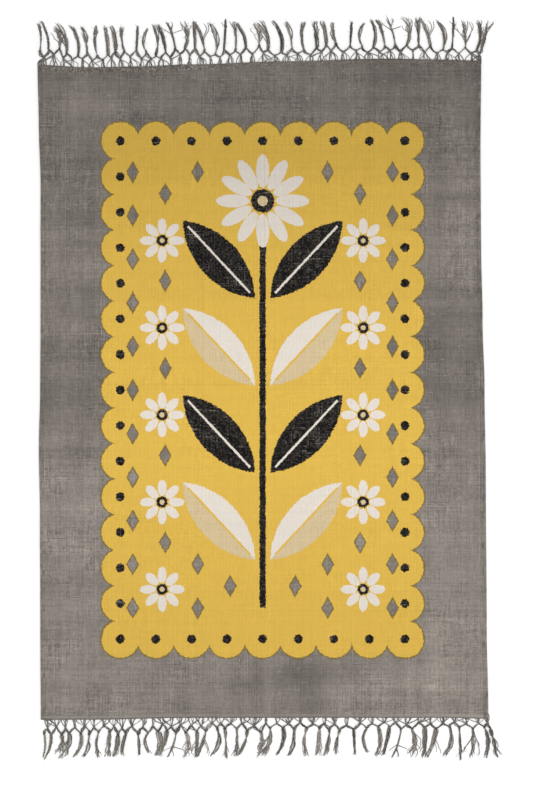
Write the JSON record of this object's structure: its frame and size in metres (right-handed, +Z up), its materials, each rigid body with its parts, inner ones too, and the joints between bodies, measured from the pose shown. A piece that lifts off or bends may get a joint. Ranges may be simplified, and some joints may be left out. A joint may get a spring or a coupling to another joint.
{
  "type": "flat woven fringed kids rug",
  "caption": "Flat-woven cotton rug for a child's room, lying flat, with knotted warp fringe along both short ends.",
  "frame": {"origin": "centre of the whole part's box in plan, fringes included, at the underside on the floor", "axes": "+X across the rug, +Y along its length towards the longer fringe, +Z up out of the face"},
  "size_m": [1.0314, 1.6702, 0.0052],
  "materials": {
    "woven_cotton": "matt flat weave, printed",
    "warp_yarn": "matt knotted cotton yarn"
  },
  "bodies": {
    "root": {"rug_body": "woven_cotton", "fringe_far": "warp_yarn", "fringe_near": "warp_yarn"}
  },
  "joints": []
}
